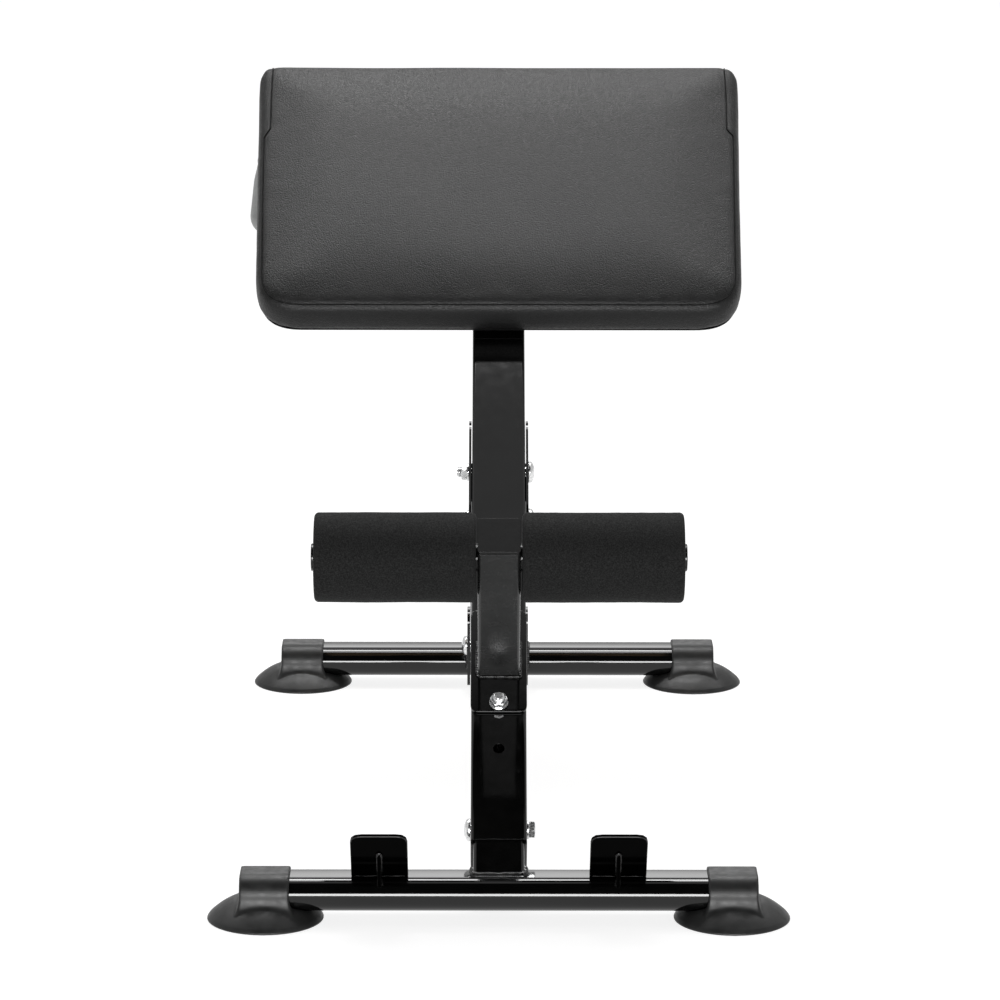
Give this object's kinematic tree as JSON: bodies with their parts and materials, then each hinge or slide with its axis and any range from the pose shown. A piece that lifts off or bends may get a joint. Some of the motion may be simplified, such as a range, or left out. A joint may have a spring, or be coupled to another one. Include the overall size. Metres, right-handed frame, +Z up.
{
  "type": "roman chair",
  "caption": "Hyperextension roman chair: inclined beam on two cross feet with a rear strut, wide hip pad, hand grips behind it and foam ankle rollers on a short arm.",
  "frame": {"origin": "on the floor, under the middle of the chair's outer box", "axes": "+Z up, +Y from the user's feet towards the hip pad, +X across the chair to the user's right"},
  "size_m": [0.514, 0.922, 0.6705],
  "materials": {
    "black_paint": "gloss black powder coat",
    "foot_rubber": "satin black rubber",
    "grip_rubber": "smooth matte grey rubber",
    "cap_plastic": "satin black plastic",
    "zinc_steel": "bright zinc plate",
    "roller_foam": "matte black closed-cell foam with a fine grain",
    "pad_leatherette": "dark grey pebbled leatherette, stitched",
    "board_wood": "plain plywood"
  },
  "bodies": {
    "frame": {"front_base_tube": "black_paint", "rear_base_tube": "black_paint", "rubber_foot_front_left": "foot_rubber", "rubber_foot_front_right": "foot_rubber", "rubber_foot_rear_left": "foot_rubber", "rubber_foot_rear_right": "foot_rubber", "foot_plate_left": "black_paint", "foot_plate_right": "black_paint", "foot_gusset_left": "black_paint", "foot_gusset_right": "black_paint", "front_stub": "black_paint", "main_beam": "black_paint", "beam_top_plug": "cap_plastic", "rear_strut": "black_paint", "rear_cheek_left": "black_paint", "rear_cheek_right": "black_paint", "front_cross_bolt": "zinc_steel", "front_cross_nut": "zinc_steel", "apex_upper_bolt": "zinc_steel", "apex_upper_nut": "zinc_steel", "apex_lower_bolt": "zinc_steel", "apex_lower_nut": "zinc_steel", "rear_bolt": "zinc_steel", "rear_nut": "zinc_steel", "arm_plate": "black_paint", "roller_arm": "black_paint", "arm_end_cap": "cap_plastic", "arm_lower_bolt": "zinc_steel", "arm_lower_nut": "zinc_steel", "arm_upper_bolt": "zinc_steel", "arm_upper_nut": "zinc_steel", "roller_axle": "black_paint", "axle_plug_left": "cap_plastic", "axle_plug_right": "cap_plastic", "pad_cushion": "pad_leatherette", "pad_board": "board_wood", "pad_bar_lower": "black_paint", "pad_bar_upper": "black_paint", "pad_bolt_lower_left": "zinc_steel", "pad_bolt_lower_right": "zinc_steel", "pad_bolt_upper_left": "zinc_steel", "pad_bolt_upper_right": "zinc_steel", "handlebar": "black_paint", "grip_left": "grip_rubber", "grip_right": "grip_rubber"},
    "left_roller": {"foam_roller_left": "roller_foam"},
    "right_roller": {"foam_roller_right": "roller_foam"}
  },
  "joints": [
    {"name": "left_roller_spin", "type": "hinge", "parent": "frame", "child": "left_roller", "pos_m": [-0.093, -0.33629, 0.30933], "axis": [1, 0, 0], "continuous": true},
    {"name": "right_roller_spin", "type": "hinge", "parent": "frame", "child": "right_roller", "pos_m": [0.093, -0.33629, 0.30933], "axis": [1, 0, 0], "continuous": true}
  ]
}
